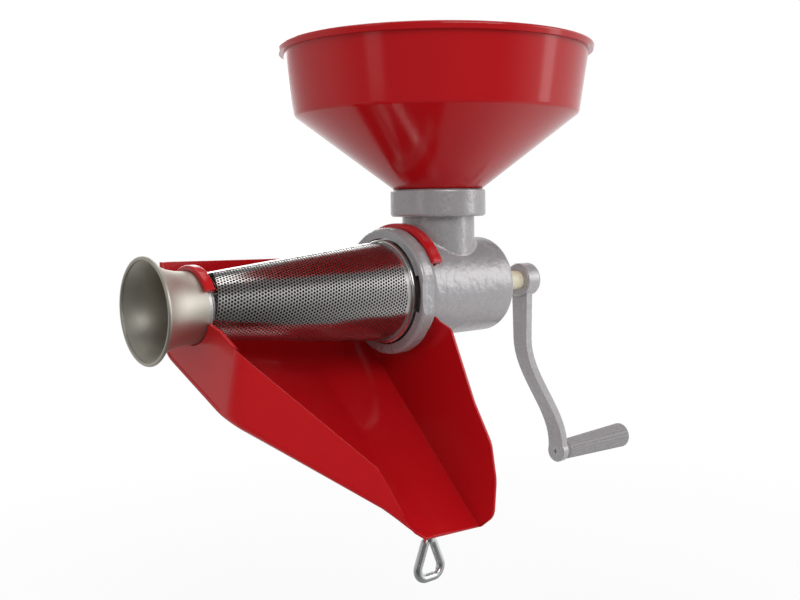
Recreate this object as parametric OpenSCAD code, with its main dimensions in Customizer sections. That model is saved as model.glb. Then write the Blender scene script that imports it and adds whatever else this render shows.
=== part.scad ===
// Hand-cranked food mill with a table clamp.
// Frame of the finished part: origin at the centre of the clamp jaw's seat, on the clamp
// screw's axis; +X along the barrel towards the crank, -X towards the waste spout,
// -Y the side the chute pours to, +Z up.
// Most pieces are drawn in the barrel frame: origin where the hopper's axis meets the
// barrel's axis.  Turned profiles are written as [radius, distance along the axis].

/* [Layout] */
// Height of the barrel's axis above the table
axis_height = 95; // [85:1:110]
// Distance from the clamp screw's axis to the hopper's axis
hopper_offset = 15; // [10:1:20]

/* [Hopper] */
// Diameter over the hopper's rim
hopper_rim_d = 245; // [180:1:280]
// Wall of the hopper
hopper_wall = 2.4; // [1.6:0.1:3.5]
// Height of the upright part of the hopper
hopper_band_h = 52.5; // [30:0.5:80]
// Height of the funnel part of the hopper
hopper_cone_h = 57; // [40:0.5:80]
// How far the upright wall leans in from top to bottom
hopper_lean = 7; // [3:0.5:14]
// How far the rim stands out from the wall
rim_overhang = 4.2; // [2.5:0.1:7]
// Depth of the turned-down rim
rim_depth = 5.2; // [3:0.1:8]
// Length of the spigot that stands in the collar
spigot_len = 14; // [8:0.5:15]

/* [Casting] */
// Outer radius of the barrel
barrel_r = 38.2; // [37:0.1:41]
// Wall of the barrel
barrel_wall = 4.6; // [3:0.1:6]
// Distance from the hopper's axis to the barrel's rear face
barrel_rear = 47.4; // [44:0.2:60]
// Thickness of the barrel's rear wall
rear_wall = 7; // [6:0.2:10]
// Length of the bearing boss behind the barrel
boss_len = 18.6; // [14:0.2:19]
// Radius of the bearing boss
boss_r = 15.4; // [14:0.1:17]
// Outer radius of the neck under the collar
neck_r = 28.5; // [27:0.1:30]
// Radius of the throat that the food drops through
throat_r = 24; // [18:0.1:25]
// Outer radius of the collar that holds the hopper
collar_r = 37.5; // [34:0.1:44]
// Height of the collar's underside above the barrel's axis
collar_base = 55.8; // [52:0.2:60]
// Height of the collar
collar_h = 21.2; // [19:0.2:28]
// Radius of the fillet between neck and barrel
neck_fillet = 6; // [3:0.5:8]

/* [Front flange and bayonet] */
// Distance from the hopper's axis to the flange's front face
flange_front = 57.5; // [55:0.1:62]
// Thickness of the flange
flange_t = 10.8; // [10.4:0.1:14]
// Metal between the bayonet groove and the flange's outer edge
flange_wall = 4.2; // [3:0.1:6]
// Thickness of the lip that holds the bayonet lugs
lip_t = 3.2; // [2.5:0.1:4]
// Width of the bayonet groove
groove_w = 4; // [3:0.1:4.4]
// Reach of the lugs behind the lip
lug_reach = 3; // [2:0.1:3.5]
// Angle that one bayonet lug covers
lug_angle = 30; // [20:1:34]

/* [Screen and waste spout] */
// Outer radius of the screen at its big end
screen_big_r = 38.1; // [36.5:0.1:39]
// Outer radius of the screen at its small end
screen_small_r = 20.9; // [18:0.1:22.5]
// Length of the screen
screen_len = 159; // [140:1:175]
// Thickness of the screen's sheet
sheet_t = 0.8; // [0.6:0.1:1.2]
// Radius of the spout's neck
spout_neck_r = 24; // [23.4:0.1:26]
// Radius over the spout's rolled mouth
spout_mouth_r = 35.1; // [30:0.1:42]
// Length of the spout
spout_len = 34; // [26:0.5:50]

/* [Auger and drive] */
// Number of turns of the auger's flight
auger_turns = 8; // [5:1:10]
// How much the flight's pitch tightens towards the outlet
auger_tighten = 0.25; // [0:0.05:0.4]
// Thickness of the flight at its edge
flight_t = 2.6; // [2:0.1:4]
// Radius of the auger's core at the crank end
core_r = 14; // [12:0.1:17]
// Radius of the auger's sleeve, which turns in the rear bearing
sleeve_r = 8; // [7:0.1:9]
// Radius of the steel drive shaft
shaft_r = 4.6; // [4:0.1:5]

/* [Crank] */
// Throw of the crank
crank_throw = 157.5; // [130:0.5:180]
// Sideways set of the crank's lower end
crank_set = 45.5; // [30:0.5:55]
// Thickness of the crank arm
arm_t = 6.6; // [5:0.1:9]
// Width of the crank arm at the hub
arm_w = 18; // [14:0.5:24]
// Radius of the crank's hub
hub_r = 14.1; // [12:0.1:18]
// Length of the crank's hub
hub_len = 16; // [13:0.5:20]
// Distance from the barrel's rear face to the crank's hub
hub_gap = 42; // [40:0.5:60]
// Length of the grip
grip_len = 84; // [60:1:110]
// Radius of the grip at the arm
grip_near_r = 8.8; // [8.2:0.1:11]
// Radius of the grip at its free end
grip_far_r = 11.3; // [10.5:0.1:14]
// Number of flutes round the grip
grip_flutes = 20; // [12:1:24]
// Radius of the grip's pin
grip_pin_r = 4; // [3:0.1:4.4]

/* [Chute] */
// Wall of the chute
chute_wall = 2.4; // [1.8:0.1:3.2]
// Width of the hook over the spout's neck
front_hook_w = 7; // [5:0.5:9]
// Width of the hook behind the flange
rear_hook_w = 9.6; // [7:0.2:10]
// Radius of the corner between the chute's end wall and its near wall
corner_r = 10; // [4:0.5:14]
// Height of the near wall at the spout's end
near_tall = 48.7; // [40:0.1:54]
// Height of the near wall where it starts to drop to the lip
near_short = 29.5; // [20:0.1:36]
// Rounding between the floor and the back wall
back_round = 14; // [6:0.5:16]
// Rounding between the floor and the near wall
near_round = 9; // [4:0.5:12]
// Width of the pouring lip
lip_w = 48; // [35:1:60]
// How far the lip lies below the barrel's axis
lip_drop = 168.5; // [150:0.5:185]
// How far the lip stands out in front of the barrel's axis
lip_out = 81.4; // [70:0.2:95]

/* [Clamp] */
// Thickness of the clamp's jaw
jaw_t = 11; // [9:0.5:14]
// Width of the clamp's jaw
jaw_w = 38; // [30:1:44]
// Width of the clamp's spine
spine_w = 26; // [20:1:30]
// Reach of the jaw in front of the screw's axis
jaw_reach = 18.5; // [16:0.5:19]
// Opening between the jaw and the lower arm
throat_h = 55; // [55:1:62]
// Thickness of the clamp's spine
spine_t = 14; // [11:0.5:18]
// Distance from the screw's axis to the spine
spine_in = 21; // [20:0.5:26]
// Thickness of the clamp's lower arm
lower_arm_t = 12; // [10:0.5:13]
// Thickness of the web between the barrel and the jaw
web_t = 14; // [10:0.5:20]
// Radius of the clamp screw
screw_r = 5; // [4:0.1:5.5]
// Gap between the jaw and the clamp's foot as drawn
clamp_open = 45; // [30:0.5:45]
// Radius of the clamp's foot
foot_r = 13; // [11:0.1:14]
// Radius of the rod that the screw's eye is bent from
eye_rod_r = 3.5; // [2.5:0.1:3.8]
// Half the width of the eye, at the rod's centre
eye_half_w = 16; // [13:0.5:22]

/* [Hidden] */

$fn = 96;
gap = 0.3;            // clearance between pieces that move or lift apart
run = 0.05;           // radial running clearance of a shaft in its hole
snug = 0.02;          // radial clearance of a pressed or bonded joint
over = 1;             // how far a cutter runs past a face

// Hopper
rim_r = hopper_rim_d / 2;
band_top_r = rim_r - rim_overhang;
band_low_r = band_top_r - hopper_lean;
collar_top = collar_base + collar_h;
seat_r = collar_r - 2.5;             // where the funnel rests on the collar
socket_r = throat_r + 7;
socket_floor = collar_top - 16;
spigot_r = socket_r - gap;

// Barrel, flange and bayonet
chamber_r = barrel_r - barrel_wall;
chamber_rear = barrel_rear - rear_wall;
bead_r = screen_big_r + 1;
ring_seam = 20;                       // turns the screen ring's seam clear of its lugs
lip_hole_r = bead_r + 1.3;
lug_r = lip_hole_r + lug_reach;
groove_r = lug_r + gap + 0.1;
flange_r = groove_r + flange_wall;
flange_rear = flange_front - flange_t;
groove_front = flange_front - lip_t;
groove_rear = groove_front - groove_w;
seal_t = 2;
seal_w = 5.4;                        // width of the screen's seal
seal_in = chamber_r + 0.6;
seal_r = seal_in + seal_w;
bell_r = seal_r + 4.8;               // barrel radius just behind the flange
bell_end = flange_rear - 10.7;
notch_y = groove_r + 2;
notch_half = 14;
boss_end = barrel_rear + boss_len;

// Screen
screen_start = flange_front - 0.5;   // big end, measured towards the spout
screen_end = screen_start + screen_len;
function screen_out(x) =
  screen_big_r + (screen_small_r - screen_big_r) * (x - screen_start) / screen_len;
end_ring_w = 3;
spout_start = screen_end + 1.5;
spout_end = spout_start + spout_len;
spout_t = 0.9;
mouth_roll_r = 1.3;

// Drive
seal_depth = 3;
bush_r = sleeve_r + 2.5;
bush_flange_t = 2;
washer_t = 2;
washer_face = chamber_rear - gap;
auger_rear = chamber_rear - 13;      // rear face of the auger's core
auger_front = screen_end - 8;
sleeve_end = barrel_rear + hub_gap;
auger_nose_r = 8;
shaft_front = screen_start + 30;
square = 1.4 * shaft_r;
crank_screw_r = 2;
pin_x = 10;                          // cross pin through the auger and its shaft
pin_r = 2;

// Crank
hub_x = sleeve_end;
hub_end = hub_x + hub_len;
arm_x = hub_x + arm_t;               // middle of the arm beside the hub
arm_low_x = arm_x + crank_set;
bend_top = 0.32 * crank_throw;
bend_low = crank_throw - 5.5;
arm_end_r = grip_pin_r + 5.6;
pin_head = arm_low_x - arm_t / 2;
arm_boss = arm_low_x + arm_t / 2 + 2.6;
grip_washer_t = 1.4;
grip_x = arm_boss + grip_washer_t + gap;
grip_end = grip_x + grip_len;
cap_t = 3;
nut_t = 4;
cap_r = grip_far_r - 3.8;
pin_end = grip_end - cap_t - 0.6;    // end of the grip's pin, under the cap

// Chute, in the barrel frame; outlines are [y, z]
chute_left = screen_end + 3;         // inner face of the end plate
hook_r = spout_neck_r + gap;
chute_right = bell_end + 1.6;        // rear plate's face nearest the crank
rear_hook_x = flange_rear - 0.5;
rear_hook_r = flange_r - 0.4;
strap_t = 3.6;
lip_edge = 3;                        // height left of the near wall along the lip
lip_in = 6.7;                        // the lip's corner lies this far behind its tip
lip_up = 2.6;
lip_end_in = 2.1;
near_low_left = [-49, -71.7];
near_low_lip = [lip_in - lip_out, lip_up - lip_drop];
near_low_right = [lip_end_in - lip_out, lip_end_in - lip_drop];
back_low_left = [40, -33];
back_low_lip = [50.5, -50];
back_low_right = [flange_r + 5, -36];
back_top_left = [41, 28.6];
back_top_right = [flange_r + 5.3, 24.5];
web_r = bell_r - 2;                  // radius of the rear plate's hole
edge_angle = 205;                    // where the rear plate's front edge leaves the barrel
near_lean = [-0.29, 0.957];          // way the near wall rises
chute_span = chute_left - chute_right;
lip_at = (chute_span - lip_w) / chute_span;

// Clamp, in the part's frame
jaw_x = spine_in + spine_t;
arm_top = -throat_h;
arm_low = arm_top - lower_arm_t;
screw_boss_r = 11;
foot_h = 8;
foot_bore = 6;                       // depth of the foot's bore
foot_top = -clamp_open;
foot_low = foot_top - foot_h;
stem_r = 3.2;
ring_t = 1.2;
eye_top = -99;                       // where the eye's two sides would meet
eye_low = -138.3;                    // middle of the eye's lower rod
eye_bend = 8;                        // bend of the eye's lower corners
eye_top_bend = 5;
eye_lean = atan(eye_half_w / (eye_top - eye_low));

function arc(c, r, a0, a1, n = 8) =
  [for (i = [0 : n]) let (a = a0 + (a1 - a0) * i / n) c + r * [cos(a), sin(a)]];
function lerp(a, b, t) = a + (b - a) * t;
function unit(v) = v / norm(v);
function smooth(t) = let (s = max(0, min(1, t))) s * s * (3 - 2 * s);
// A polygon with its corners rounded; each corner is [x, y, radius]
function rounded(pts, n = 6) = let (m = len(pts)) [for (i = [0 : m - 1])
  let (p = [pts[i][0], pts[i][1]], r = pts[i][2],
    a = [pts[(i + m - 1) % m][0], pts[(i + m - 1) % m][1]],
    b = [pts[(i + 1) % m][0], pts[(i + 1) % m][1]],
    u = unit(a - p), v = unit(b - p), half = acos(max(-1, min(1, u * v))) / 2)
  each r == 0 ? [p] : let (c = p + unit(u + v) * r / sin(half),
    s = p + u * r / tan(half) - c, e = p + v * r / tan(half) - c,
    a0 = atan2(s[1], s[0]), turn = (atan2(e[1], e[0]) - a0 + 540) % 360 - 180)
    arc(c, r, a0, a0 + turn, n)];

module barrel_frame() { translate([hopper_offset, 0, axis_height]) children(); }
// Turns a profile of [radius, distance towards the crank] round the barrel's axis
module turn_x(pts) { rotate([0, 90, 0]) rotate_extrude() polygon(pts); }
// The same for distances measured towards the spout
module turn_out(pts) { rotate([0, -90, 0]) rotate_extrude() polygon(pts); }
// Outline [y, z] made a plate from x0 to x1
module plate(pts, x0, x1) {
  translate([x0, 0, 0]) rotate([90, 0, 90]) linear_extrude(x1 - x0) polygon(pts);
}

// ---------------------------------------------------------------- casting

// Saddle fillet between the neck and the barrel: the path of a ball rolled round the neck.
// The fillet runs a little deeper than the ball, so that it meets both surfaces at an angle.
module saddle() {
  n = 48;
  m = 6;
  deep = 0.2;
  r = neck_fillet;
  // middle of the ball at angle a round the neck
  function ball(a) = let (q = neck_r + r, y = q * sin(a))
    [q * cos(a), y, sqrt(pow(barrel_r + r, 2) - y * y)];
  function on_neck(a) = [neck_r * cos(a), neck_r * sin(a), ball(a)[2]];
  function on_barrel(a) = let (b = ball(a), k = barrel_r / (barrel_r + r)) [b[0], b[1] * k, b[2] * k];
  function inside(a) = let (b = on_barrel(a), k = (neck_r - 3) / (neck_r + r))
    [b[0] * k, b[1] * k, b[2] - 2];
  function ring(a) = let (b = ball(a), p = on_neck(a) - b, q = on_barrel(a) - b)
    concat([inside(a)], [for (j = [0 : m]) b + (r + deep) * unit(lerp(p, q, j / m))]);
  rings = [for (i = [0 : n - 1]) ring(360 * (i + 0.5) / n)];
  w = m + 2;
  polyhedron([for (g = rings) each g],
    [for (i = [0 : n - 1]) for (j = [0 : w - 1])
      let (a = i * w + j, b = i * w + (j + 1) % w,
        c = ((i + 1) % n) * w + (j + 1) % w, d = ((i + 1) % n) * w + j)
      each [[a, b, c], [a, c, d]]]);
}

module leg() {
  top = axis_height - barrel_r + barrel_wall / 2;
  // web from the barrel down to the jaw
  rotate([90, 0, 0]) translate([0, 0, -web_t / 2]) linear_extrude(web_t)
    polygon(rounded([[-jaw_reach + 4, top, 0], [-jaw_reach + 7, top - 20, 10],
      [-jaw_reach + 2, jaw_t - 1, 0], [jaw_x - 6, jaw_t - 1, 0],
      [jaw_x - 12, top - 22, 14], [hopper_offset + 5, top, 0]]));
  // jaw, spine and lower arm: seen from the side, then from the front
  intersection() {
    rotate([90, 0, 0]) translate([0, 0, -jaw_w / 2]) linear_extrude(jaw_w)
      polygon(rounded([[-jaw_reach, 0, 0], [-jaw_reach, jaw_t - 3, 3], [-jaw_reach + 5, jaw_t, 4],
        [jaw_x - 4, jaw_t, 8], [jaw_x, jaw_t - 14, 8], [jaw_x - 3, arm_top, 12],
        [jaw_x - 6, arm_low, 9], [2 - screw_boss_r, arm_low, 4], [2 - screw_boss_r, arm_top, 3],
        [spine_in, arm_top, 5], [spine_in, 0, 0]]));
    plate(rounded([[-jaw_w / 2, jaw_t, 4], [-jaw_w / 2, 0, 0], [-jaw_w / 2, -3, 3],
      [-spine_w / 2, -12, 8], [-spine_w / 2, arm_low, 3], [spine_w / 2, arm_low, 3],
      [spine_w / 2, -12, 8], [jaw_w / 2, -3, 3], [jaw_w / 2, 0, 0], [jaw_w / 2, jaw_t, 4]]),
      -jaw_reach - over, jaw_x + over);
  }
  translate([0, 0, arm_low]) cylinder(h = lower_arm_t, r = screw_boss_r);
}

module mill_body() {
  edge = 2.8;
  color([0.66, 0.65, 0.66]) difference() {
    union() {
      barrel_frame() {
        turn_x(concat([[0, -flange_front], [flange_r - edge, -flange_front]],
          arc([flange_r - edge, edge - flange_front], edge, -90, 0, 4),
          [[flange_r, -flange_rear - 0.6], [flange_r - 0.6, -flange_rear],
            [bell_r, -flange_rear], [barrel_r, -bell_end]],
          arc([barrel_r - 4, barrel_rear - 4], 4, 0, 90, 5),
          [[boss_r + 2, barrel_rear], [boss_r, barrel_rear + 2], [boss_r - 0.8, boss_end - 1],
            [boss_r - 1.8, boss_end], [0, boss_end]]));
        cylinder(h = collar_base + over, r = neck_r);
        saddle();
        rotate_extrude() polygon(concat([[0, collar_base]],
          arc([collar_r - 2.5, collar_base + 2.5], 2.5, -90, 0, 4),
          arc([collar_r - 2, collar_top - 2], 2, 0, 90, 4), [[0, collar_top]]));
      }
      leg();
    }
    barrel_frame() {
      // chamber, rear bearing and seal pocket
      turn_x([[0, -groove_rear - over], [chamber_r, -groove_rear - over],
        [chamber_r, chamber_rear], [0, chamber_rear]]);
      translate([chamber_rear - over, 0, 0]) rotate([0, 90, 0])
        cylinder(h = seal_depth + over, r = bush_r + 0.5 + snug);
      translate([chamber_rear, 0, 0]) rotate([0, 90, 0])
        cylinder(h = boss_end, r = bush_r + snug);
      // bayonet: hole in the lip, groove, seal recess and the two entries
      translate([-flange_front - over, 0, 0]) rotate([0, 90, 0])
        cylinder(h = lip_t + over + 0.1, r = lip_hole_r);
      translate([-groove_front, 0, 0]) rotate([0, 90, 0])
        cylinder(h = groove_w, r = groove_r);
      translate([-groove_rear - 0.1, 0, 0]) rotate([0, 90, 0])
        cylinder(h = seal_t + 0.1, r = seal_r + snug);
      for (side = [0, 180]) rotate([side, 0, 0])
        translate([-flange_front - over, 0, 0]) rotate([0, 90, 0]) rotate([0, 0, 90 - lug_angle / 2 - 4])
          rotate_extrude(angle = lug_angle + 8)
            translate([lip_hole_r - 4, 0]) square([groove_r - lip_hole_r + 4, lip_t + over + 0.1]);
      // flats on both sides of the flange
      for (side = [-1, 1]) translate([-flange_front - over, side * (notch_y + 10) - 10, -notch_half])
        cube([flange_t + over, 20, 2 * notch_half]);
      // throat and hopper socket
      cylinder(h = collar_top + over, r = throat_r);
      translate([0, 0, socket_floor]) cylinder(h = collar_h, r = socket_r);
    }
    // hole for the clamp screw
    translate([0, 0, arm_low - over]) cylinder(h = lower_arm_t + 2 * over, r = screw_r + run);
  }
}

// ---------------------------------------------------------------- hopper

module hopper() {
  t = hopper_wall;
  base = collar_top + gap;
  knee = base + hopper_cone_h;
  top = knee + hopper_band_h;
  low = collar_top - spigot_len;
  rise = unit([band_low_r - seat_r, knee - base]);
  side = [rise[1], -rise[0]] * t;      // from the funnel's inner face to its outer face
  slope = (band_low_r - seat_r) / (knee - base);
  inner_base = base + (spigot_r - t - seat_r + side[0]) / slope - side[1];
  color([0.78, 0.03, 0.06]) barrel_frame() rotate_extrude(convexity = 6) polygon(concat(
    [[spigot_r, low], [spigot_r, base], [seat_r, base]],
    arc([band_low_r - 5, knee + 3], 5, -44, -4, 5),
    [[band_top_r, top - rim_depth], [rim_r - 0.8, top - rim_depth]],
    arc([rim_r - 2, top - 2], 2, 0, 90, 5),
    [[band_top_r - t + 1.2, top], [band_top_r - t, top - 1.4]],
    arc([band_low_r - t - 5, knee + 3], 5, -4, -44, 5),
    [[spigot_r - t, inner_base], [spigot_r - t, low + 1], [spigot_r - t + 1, low]]));
}

// ---------------------------------------------------------------- screen and spout

module screen_cone() {
  t = sheet_t;
  color([0.72, 0.72, 0.7]) barrel_frame() turn_out([[screen_big_r, screen_start],
    [screen_small_r, screen_end], [screen_small_r - t, screen_end], [screen_big_r - t, screen_start]]);
}

module screen_ring() {
  bore = screen_big_r - sheet_t;
  front = screen_start + 3.4;
  rear = groove_rear + gap;
  color([0.8, 0.8, 0.79]) barrel_frame() {
    rotate([ring_seam, 0, 0]) turn_out(concat([[bore, rear], [bead_r, rear]],
      [[bead_r, screen_start]], arc([bead_r - 1.5, front - 1.5], 1.5, 0, 90, 5),
      [[screen_out(front), front], [screen_big_r, screen_start], [bore, screen_start]]));
    for (side = [0, 180]) rotate([side, 0, 0]) translate([-groove_front + gap, 0, 0])
      rotate([0, 90, 0]) rotate([0, 0, 180 - lug_angle / 2]) rotate_extrude(angle = lug_angle)
        translate([bead_r - 1, 0]) square([lug_r - bead_r + 1, groove_w - 2 * gap]);
  }
}

module screen_end_ring() {
  start = spout_start - end_ring_w;
  color([0.74, 0.74, 0.72]) barrel_frame() turn_out([[screen_out(start), start],
    [spout_neck_r - 1, start], [spout_neck_r, start + 1], [spout_neck_r, spout_start],
    [screen_small_r - sheet_t, spout_start], [screen_small_r - sheet_t, screen_end],
    [screen_small_r, screen_end]]);
}

module waste_spout() {
  t = spout_t;
  n = 14;
  span = spout_len - mouth_roll_r;
  end_r = spout_mouth_r - mouth_roll_r;
  // flare: radius against the share of the way to the mouth
  function flare(s) = spout_neck_r + (end_r - spout_neck_r) * pow(s, 2.7);
  function at(s) = spout_start + span * s;
  color([0.7, 0.7, 0.67]) barrel_frame() {
    turn_out(concat([for (i = [0 : n]) [flare(i / n), at(i / n)]],
      [for (i = [n : -1 : 0]) [flare(i / n) - t, at(i / n)]]));
    turn_out(arc([end_r, at(1)], mouth_roll_r, 0, 337.5, 15));
  }
}

module screen_seal() {
  color([0.85, 0.84, 0.8]) barrel_frame() turn_out([[seal_in, groove_rear - seal_t],
    [seal_r, groove_rear - seal_t], [seal_r, groove_rear], [seal_in + 1, groove_rear],
    [seal_in, groove_rear - 1]]);
}

// ---------------------------------------------------------------- auger and drive

// Radius that the flight may reach, a hair inside the barrel and the screen
function flight_r(x) =
  min(chamber_r - 0.6, screen_out(max(x, screen_start)) - sheet_t - 0.6);
function auger_core(x) =
  lerp(core_r, auger_nose_r, (x + auger_rear) / (auger_front + auger_rear));

module flight() {
  steps = 24;
  n = auger_turns * steps;
  span = auger_front + auger_rear - 8;
  function along(u) = 2 - auger_rear + span * ((1 + auger_tighten) * u - auger_tighten * u * u);
  function section(u) = let (x = along(u), a = 360 * auger_turns * u,
      low = auger_core(x) - 1.5, high = max(low + 2, flight_r(x)), h = flight_t / 2)
    [for (p = [[low, -1.6 * h], [high, -h], [high, h], [low, 1.6 * h]])
      [-(x + p[1]), p[0] * cos(a), p[0] * sin(a)]];
  polyhedron([for (i = [0 : n]) each section(i / n)], concat([[0, 1, 2], [0, 2, 3]],
    [for (i = [0 : n - 1]) for (j = [0 : 3])
      let (a = 4 * i + j, b = 4 * i + (j + 1) % 4) each [[a, a + 4, b + 4], [a, b + 4, b]]],
    [[4 * n, 4 * n + 2, 4 * n + 1], [4 * n, 4 * n + 3, 4 * n + 2]]));
}

module auger() {
  color([0.9, 0.88, 0.8]) barrel_frame() difference() {
    union() {
      turn_x([[0, -auger_front - 4], [auger_nose_r - 4, -auger_front - 4], [auger_nose_r, -auger_front],
        [core_r, auger_rear], [sleeve_r, auger_rear], [sleeve_r, sleeve_end], [0, sleeve_end]]);
      flight();
    }
    translate([-shaft_front, 0, 0]) rotate([0, 90, 0])
      cylinder(h = shaft_front + sleeve_end + over, r = shaft_r + snug);
    translate([pin_x, 0, -core_r - over]) cylinder(h = 2 * core_r + 2 * over, r = pin_r + snug);
  }
}

module drive_shaft() {
  end = hub_end - 1.5;
  color([0.62, 0.62, 0.63]) barrel_frame() difference() {
    union() {
      translate([-shaft_front, 0, 0]) rotate([0, 90, 0])
        cylinder(h = shaft_front + sleeve_end, r = shaft_r);
      translate([sleeve_end, -square / 2, -square / 2]) cube([end - sleeve_end, square, square]);
    }
    translate([end - 12, 0, 0]) rotate([0, 90, 0]) cylinder(h = 13, r = crank_screw_r + snug);
    translate([pin_x, 0, -shaft_r - over]) cylinder(h = 2 * shaft_r + 2 * over, r = pin_r + snug);
  }
}

module auger_pin() {
  color([0.6, 0.6, 0.6]) barrel_frame() translate([pin_x, 0, -core_r + 1.5])
    cylinder(h = 2 * core_r - 3, r = pin_r);
}

module auger_spring() {
  wire = 0.8;
  mean = sleeve_r + 3;
  turns = 3; steps = 16; sides = 6;
  length = washer_face - washer_t - auger_rear - 2 * wire;
  n = turns * steps;
  function ring(i) = let (a = 360 * i / steps, x = auger_rear + wire + length * i / n)
    [for (k = [0 : sides - 1]) let (b = 360 * k / sides, r = mean + wire * cos(b))
      [x + wire * sin(b), r * cos(a), r * sin(a)]];
  color([0.7, 0.7, 0.7]) barrel_frame() polyhedron([for (i = [0 : n]) each ring(i)], concat(
    [[for (k = [0 : sides - 1]) sides - 1 - k]],
    [for (i = [0 : n - 1]) for (k = [0 : sides - 1])
      let (a = i * sides + k, b = i * sides + (k + 1) % sides)
      each [[a, b, b + sides], [a, b + sides, a + sides]]],
    [[for (k = [0 : sides - 1]) n * sides + k]]));
}

module thrust_washer() {
  color([0.75, 0.75, 0.74]) barrel_frame() translate([washer_face - washer_t, 0, 0]) rotate([0, 90, 0])
    difference() {
      cylinder(h = washer_t, r = sleeve_r + 6);
      translate([0, 0, -over]) cylinder(h = washer_t + 2 * over, r = sleeve_r + run);
    }
}

module shaft_seal() {
  color([0.12, 0.12, 0.12]) barrel_frame() turn_x([[sleeve_r + run, chamber_rear],
    [bush_r + 0.5, chamber_rear], [bush_r + 0.5, chamber_rear + seal_depth],
    [sleeve_r + run, chamber_rear + seal_depth]]);
}

module shaft_bush() {
  start = chamber_rear + seal_depth;
  color([0.9, 0.89, 0.84]) barrel_frame() turn_x([[sleeve_r + run, start], [bush_r, start],
    [bush_r, boss_end], [boss_r - 2.4, boss_end], [boss_r - 2.4, boss_end + bush_flange_t],
    [sleeve_r + run, boss_end + bush_flange_t]]);
}

// ---------------------------------------------------------------- crank

// Middle of the arm, seen from the side, at a depth below the hub
function arm_mid(d) = arm_x + crank_set * smooth((d - bend_top) / (bend_low - bend_top));
function arm_half_w(d) = let (t = d / crank_throw)
  lerp(arm_w / 2, arm_end_r - 1.2, smooth(t * 1.6)) - 1.3 * sin(180 * t);

module crank_arm() {
  n = 28;
  depth = [for (i = [0 : n]) crank_throw * i / n];
  // thickness square to the bend, so that the slanted part isn't thin
  function half_t(d) = let (s = (arm_mid(d + 1) - arm_mid(d - 1)) / 2) arm_t / 2 * sqrt(1 + s * s);
  color([0.66, 0.65, 0.66]) barrel_frame() difference() {
    union() {
      translate([hub_x, 0, 0]) rotate([0, 90, 0]) rotate_extrude()
        polygon(concat([[0, 0], [hub_r - 1, 0], [hub_r, 1]],
          arc([hub_r - 2.5, hub_len - 2.5], 2.5, 0, 90, 4), [[0, hub_len]]));
      intersection() {
        rotate([90, 0, 0]) translate([0, 0, -arm_w]) linear_extrude(2 * arm_w) polygon(concat(
          [for (d = depth) [arm_mid(d) - half_t(d), -d]],
          [[arm_mid(crank_throw) - half_t(crank_throw), -crank_throw - arm_end_r],
            [arm_mid(crank_throw) + half_t(crank_throw), -crank_throw - arm_end_r]],
          [for (i = [n : -1 : 0]) [arm_mid(depth[i]) + half_t(depth[i]), -depth[i]]]));
        plate(concat([for (d = depth) [-arm_half_w(d), -d]],
          arc([0, -crank_throw], arm_end_r - 1.2, 180, 360, 12),
          [for (i = [n : -1 : 0]) [arm_half_w(depth[i]), -depth[i]]]), 0, arm_low_x + arm_t);
      }
      translate([pin_head, 0, -crank_throw]) rotate([0, 90, 0]) rotate_extrude()
        polygon([[0, 0], [arm_end_r - 0.8, 0], [arm_end_r, 0.8], [arm_end_r, arm_t],
          [arm_end_r - 1.6, arm_boss - pin_head], [0, arm_boss - pin_head]]);
    }
    translate([hub_x - over, -square / 2 - snug, -square / 2 - snug])
      cube([hub_len + 2 * over, square + 2 * snug, square + 2 * snug]);
    translate([pin_head - over, 0, -crank_throw]) rotate([0, 90, 0])
      cylinder(h = 3 * arm_t, r = grip_pin_r + snug);
  }
}

module crank_washer() {
  color([0.75, 0.75, 0.74]) barrel_frame() translate([hub_end, 0, 0]) rotate([0, 90, 0])
    difference() {
      cylinder(h = 1.5, r = shaft_r + 2.4);
      translate([0, 0, -over]) cylinder(h = 4, r = crank_screw_r + snug);
    }
}

module crank_screw() {
  color([0.72, 0.72, 0.72]) barrel_frame() {
    translate([hub_end - 11, 0, 0]) rotate([0, 90, 0]) cylinder(h = 12.5, r = crank_screw_r);
    translate([hub_end + 1.5, 0, 0]) rotate([0, 90, 0]) difference() {
      cylinder(h = 3.6, r = 4.6, $fn = 6);
      translate([-6, -0.5, 2.6]) cube([12, 1, 2]);
    }
  }
}

module grip() {
  slope = atan((grip_far_r - grip_near_r) / grip_len);
  chamfer = 2.6;
  color([0.6, 0.6, 0.61]) barrel_frame() translate([0, 0, -crank_throw]) difference() {
    turn_x([[grip_pin_r + run, grip_x], [grip_near_r - 1.2, grip_x], [grip_near_r, grip_x + 1.2],
      [grip_far_r, grip_end - chamfer], [grip_far_r - chamfer, grip_end], [grip_pin_r + run, grip_end]]);
    translate([grip_end - cap_t - nut_t - 1, 0, 0]) rotate([0, 90, 0]) cylinder(h = 20, r = cap_r);
    for (i = [0 : grip_flutes - 1]) rotate([360 * i / grip_flutes, 0, 0])
      translate([grip_x + 3, 0, grip_near_r + 0.35]) rotate([0, 90 - slope, 0])
        cylinder(h = grip_len + 10, r = 0.9, $fn = 24);
  }
}

module grip_pin() {
  color([0.66, 0.66, 0.66]) barrel_frame() translate([0, 0, -crank_throw]) difference() {
    translate([pin_head, 0, 0]) rotate([0, 90, 0]) cylinder(h = pin_end - pin_head, r = grip_pin_r);
    // cross recess
    for (a = [0, 90]) rotate([a, 0, 0]) translate([pin_head - over, -2.4, -0.5]) cube([2.2, 4.8, 1]);
  }
}

module grip_washer() {
  color([0.3, 0.3, 0.31]) barrel_frame() translate([arm_boss, 0, -crank_throw]) rotate([0, 90, 0])
    difference() {
      cylinder(h = grip_washer_t, r = grip_near_r - 1);
      translate([0, 0, -over]) cylinder(h = 6, r = grip_pin_r + snug);
    }
}

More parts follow.
